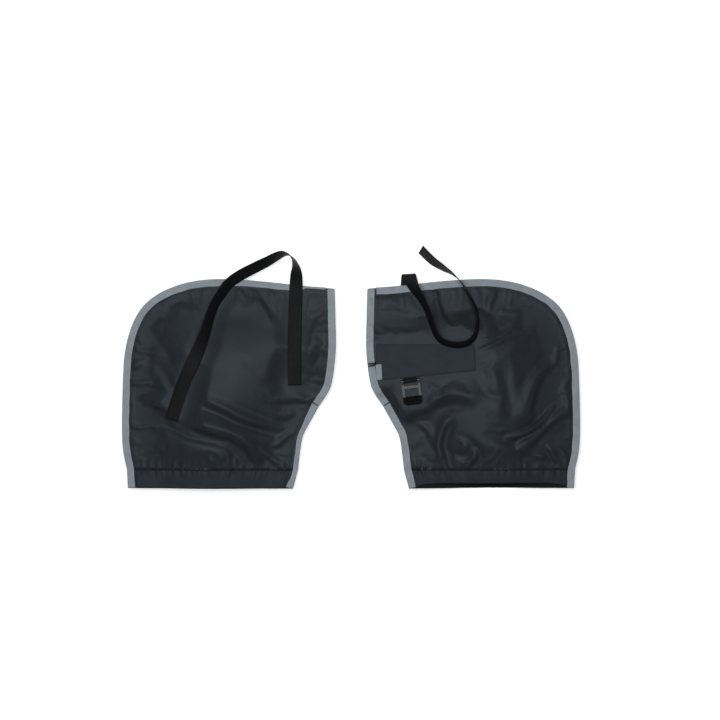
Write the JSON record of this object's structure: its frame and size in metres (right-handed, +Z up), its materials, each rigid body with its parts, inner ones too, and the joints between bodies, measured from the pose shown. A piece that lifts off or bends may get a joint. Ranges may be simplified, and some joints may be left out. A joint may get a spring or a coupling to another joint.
{
  "type": "stroller hand muffs",
  "caption": "Padded cloth hand muffs for a stroller handlebar, with bound edges, an elastic cuff, a webbing strap, a closing flap and a ladder-lock buckle.",
  "frame": {"origin": "on the ground under the middle of the pair, the free straps left out", "axes": "+X from the muff lying strap side up to the one lying flap side up, +Y from the cuffs to the top edges, +Z up"},
  "size_m": [0.688, 0.3653, 0.0595],
  "materials": {
    "coated_cloth": "dark grey woven polyester, water-repellent, slight sheen",
    "cuff_cloth": "dark grey woven polyester, matt",
    "fleece": "black short-pile fleece",
    "binding_tape": "mid-grey ribbed tape",
    "elastic": "white knitted elastic",
    "webbing": "black ribbed polypropylene webbing",
    "hook_and_loop": "black hook and loop tape",
    "acetal": "black moulded acetal"
  },
  "bodies": {
    "shells": {"left_face_a": "coated_cloth", "left_face_b": "coated_cloth", "left_lining_a": "fleece", "left_lining_b": "fleece", "left_binding_outer": "binding_tape", "left_binding_side": "binding_tape", "left_binding_neck_a": "binding_tape", "left_binding_neck_b_upper": "binding_tape", "left_binding_neck_b_lower": "binding_tape", "left_cuff_band_a": "cuff_cloth", "left_cuff_band_b": "cuff_cloth", "left_elastic_a": "elastic", "left_elastic_b": "elastic", "left_strap": "webbing", "left_flap_facing": "coated_cloth", "left_loop_tape": "hook_and_loop", "left_buckle_tab": "webbing", "right_face_a": "coated_cloth", "right_face_b": "coated_cloth", "right_lining_a": "fleece", "right_lining_b": "fleece", "right_binding_outer": "binding_tape", "right_binding_side": "binding_tape", "right_binding_neck_a": "binding_tape", "right_binding_neck_b_upper": "binding_tape", "right_binding_neck_b_lower": "binding_tape", "right_cuff_band_a": "cuff_cloth", "right_cuff_band_b": "cuff_cloth", "right_elastic_a": "elastic", "right_elastic_b": "elastic", "right_strap": "webbing", "right_flap_facing": "coated_cloth", "right_loop_tape": "hook_and_loop", "right_buckle_tab": "webbing"},
    "left_flap_body": {"left_flap": "coated_cloth", "left_flap_binding": "binding_tape", "left_hook_tape": "hook_and_loop"},
    "left_buckle_body": {"left_buckle": "acetal"},
    "right_flap_body": {"right_flap": "coated_cloth", "right_flap_binding": "binding_tape", "right_hook_tape": "hook_and_loop"},
    "right_buckle_body": {"right_buckle": "acetal"}
  },
  "joints": [
    {"name": "left_flap_lift", "type": "hinge", "parent": "shells", "child": "left_flap_body", "pos_m": [-0.18422, 0.05059, 0.0037], "axis": [0.9909, -0.1322, 0.0236], "range_deg": [0, 100]},
    {"name": "left_buckle_swing", "type": "hinge", "parent": "shells", "child": "left_buckle_body", "pos_m": [-0.08851, 0.00523, 0.00618], "axis": [0.9909, -0.1322, 0.0236], "range_deg": [0, 150]},
    {"name": "right_flap_lift", "type": "hinge", "parent": "shells", "child": "right_flap_body", "pos_m": [0.18405, 0.05056, 0.04159], "axis": [-0.9885, -0.1319, -0.0738], "range_deg": [0, 100]},
    {"name": "right_buckle_swing", "type": "hinge", "parent": "shells", "child": "right_buckle_body", "pos_m": [0.08859, 0.00524, 0.03404], "axis": [-0.9885, -0.1319, -0.0738], "range_deg": [0, 150]}
  ]
}
